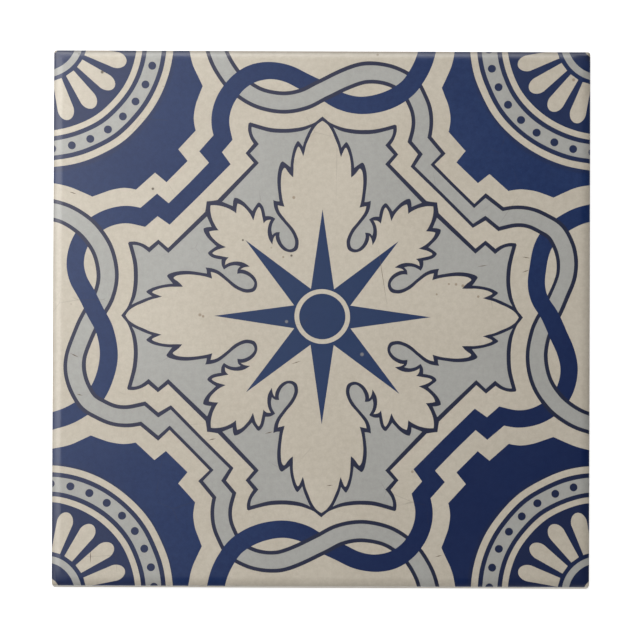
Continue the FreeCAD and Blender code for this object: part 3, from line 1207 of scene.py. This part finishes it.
# %% The azulejo stands for the CAD tile
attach(azulejo, "root")
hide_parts("tile")

# %% [markdown]
# ## White table
# The tile lies on plain white. The floor's own colour takes the shadow, and a little light that only camera,
# glossy and transmission rays see lifts it to paper white without lighting the tile.

# %% Floor
FLOOR_REACH = 9.0                   # metres from the tile to the table's edge
FLOOR_DROP = 0.0002                 # metres below the tile, so that the two don't fight
FLOOR_COLOUR = rgb(0.45, 0.45, 0.45)
FLOOR_LIFT = 0.90

table_top = bpy.data.meshes.new("table_top")
table_signs = ((-1, -1), (1, -1), (1, 1), (-1, 1))
table_corners = [(FLOOR_REACH * x, FLOOR_REACH * y, -FLOOR_DROP) for x, y in table_signs]
table_top.from_pydata(table_corners, [], [(0, 1, 2, 3)])
white_table = bpy.data.materials.new("white_table")
white_table.use_nodes = True
white_table.node_tree.nodes.clear()
paper = Wire(white_table.node_tree)
rays = paper.node("ShaderNodeLightPath", output="Is Camera Ray")
seen = rays.larger(rays.out("Is Glossy Ray")).larger(rays.out("Is Transmission Ray"))
lift = seen.node("ShaderNodeEmission", inputs={"Strength": seen * FLOOR_LIFT})
matt = lift.node("ShaderNodeBsdfDiffuse", inputs={"Color": FLOOR_COLOUR})
paper_white = matt.node("ShaderNodeAddShader", inputs={0: matt, 1: lift})
paper_white.node("ShaderNodeOutputMaterial", inputs={"Surface": paper_white})
table_top.materials.append(white_table)
floor = bpy.data.objects.new("table_top", table_top)
bpy.context.scene.collection.objects.link(floor)
print("table", 2 * FLOOR_REACH, "m across")

# %% [markdown]
# ## Light
# The key light is a softbox close by, to the left and a little behind. Being near, it lights the left of the
# tile more than the right, and its blurred reflection lays a faint veil over the upper left, as on any satin
# glaze. A second box behind shows in the cushion along the top, and a weak one in front lifts the near wall.
# The room is white at eye level, so that low views end in white, and dim overhead.

# %% Softboxes
SOFTBOXES = (                       # place, width and height in metres, and radiance
    ("key", (-0.225, 0.095, 0.295), 0.31, 0.31, 4.35),
    ("behind", (-0.20, 0.80, 0.75), 0.70, 0.40, 7.2),
    ("front", (0.30, -0.60, 0.16), 0.40, 0.40, 2.7),
)


def add_softbox(name, place, width, height, radiance):
    """An area light that faces the tile and that the camera doesn't see."""
    lamp = bpy.data.lights.new(name, "AREA")
    lamp.shape = "RECTANGLE"
    lamp.size = width
    lamp.size_y = height
    lamp.energy = radiance * math.pi * width * height
    softbox = bpy.data.objects.new(name, lamp)
    softbox.location = place
    softbox.rotation_euler = Vector(place).to_track_quat("Z", "Y").to_euler()
    softbox.visible_camera = False
    bpy.context.scene.collection.objects.link(softbox)


for softbox in SOFTBOXES:
    add_softbox(*softbox)
print("softboxes", [name for name, *_ in SOFTBOXES])

# %% Room
ROOM_DIM = 0.05                     # level overhead, where eye level is 1
ROOM_CLIMB = (0.35, 0.05)           # rise of a direction where the room is dim, and where it is white

room = bpy.data.worlds.new("room")
room.use_nodes = True
room.node_tree.nodes.clear()
bpy.context.scene.world = room
air = Wire(room.node_tree)
direction = air.node("ShaderNodeTexCoord", output="Generated")
climb = direction.node("ShaderNodeSeparateXYZ", inputs={"Vector": direction}, output="Z")
room_level = climb.between(*ROOM_CLIMB) * (1 - ROOM_DIM) + ROOM_DIM
walls = room_level.node("ShaderNodeBackground", inputs={"Strength": room_level})
walls.node("ShaderNodeOutputWorld", inputs={"Surface": walls})
print("room of", len(room.node_tree.nodes), "nodes")

# %% [markdown]
# ## Camera
# The picture is taken from far away with a long lens, so the sides stay parallel. It looks down, a few
# degrees off upright, and a strip of the near wall just shows. The tile's place in the picture sets the aim.

# %% Camera at the photograph's angle
PICTURE_SIZE = 644                  # pixels along each side of the picture
TILE_WIDTH = 537.0                  # pixels across the tile
TILE_MIDDLE = (321.3, 318.5)        # pixel, from the upper left
CAMERA_TILT = math.radians(4.6)     # off upright, towards the near side
CAMERA_ROLL = math.radians(0.21)
LENS = 1000.0
SENSOR = 36.0

pixel = FACE_SIZE * MM / TILE_WIDTH
aim = Vector((
    (PICTURE_SIZE / 2 - TILE_MIDDLE[0]) * pixel,
    (TILE_MIDDLE[1] - PICTURE_SIZE / 2) * pixel,
    LIP_Z * MM,
))
look = Matrix.Rotation(CAMERA_TILT, 4, "X") @ Matrix.Rotation(CAMERA_ROLL, 4, "Z")
distance = PICTURE_SIZE * pixel * LENS / SENSOR
camera_data = bpy.data.cameras.new("camera")
camera_data.lens = LENS
camera_data.sensor_width = SENSOR
camera_data.clip_end = 4 * distance
camera = bpy.data.objects.new("camera", camera_data)
camera.matrix_world = Matrix.Translation(aim + look.to_3x3() @ Vector((0, 0, distance))) @ look
bpy.context.scene.collection.objects.link(camera)
bpy.context.scene.camera = camera
bpy.context.scene.view_settings.view_transform = "Standard"
print("camera", round(distance, 2), "m away")
